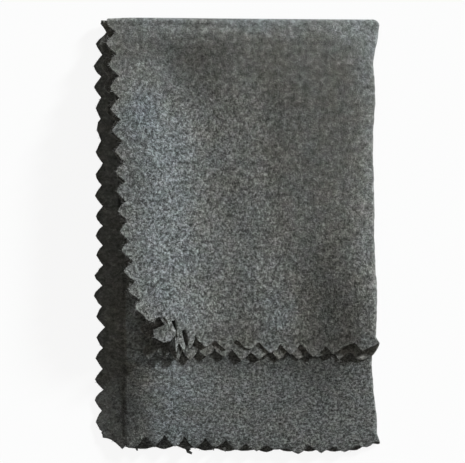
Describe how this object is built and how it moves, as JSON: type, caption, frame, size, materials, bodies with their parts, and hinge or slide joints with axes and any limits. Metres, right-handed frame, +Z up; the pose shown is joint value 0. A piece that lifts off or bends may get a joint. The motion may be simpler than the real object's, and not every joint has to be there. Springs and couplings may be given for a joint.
{
  "type": "cleaning cloth",
  "caption": "Soft grey brushed cleaning cloth with pinked zigzag edges, folded book-wise at its side and then over at the top into a loose flap.",
  "frame": {"origin": "centre of the folded cloth's footprint, on the surface it lies on", "axes": "+X towards the side fold, +Y towards the top fold, +Z up from the surface it lies on"},
  "size_m": [0.0965, 0.1478, 0.0152],
  "materials": {
    "brushed_cloth": "brushed nap, matt heathered grey"
  },
  "bodies": {
    "lower": {"back_panel": "brushed_cloth", "lower_front_panel": "brushed_cloth", "lower_side_fold": "brushed_cloth", "inner_top_fold": "brushed_cloth", "outer_top_fold": "brushed_cloth", "top_corner_fold": "brushed_cloth"},
    "flap": {"flap_inner_panel": "brushed_cloth", "flap_outer_panel": "brushed_cloth", "flap_side_fold": "brushed_cloth"}
  },
  "joints": [
    {"name": "flap_fold", "type": "hinge", "parent": "lower", "child": "flap", "pos_m": [0, 0.07128, 0.00265], "axis": [-1, 0, 0], "range_deg": [0, 155], "deforming": ["inner_top_fold", "outer_top_fold", "top_corner_fold"]}
  ]
}
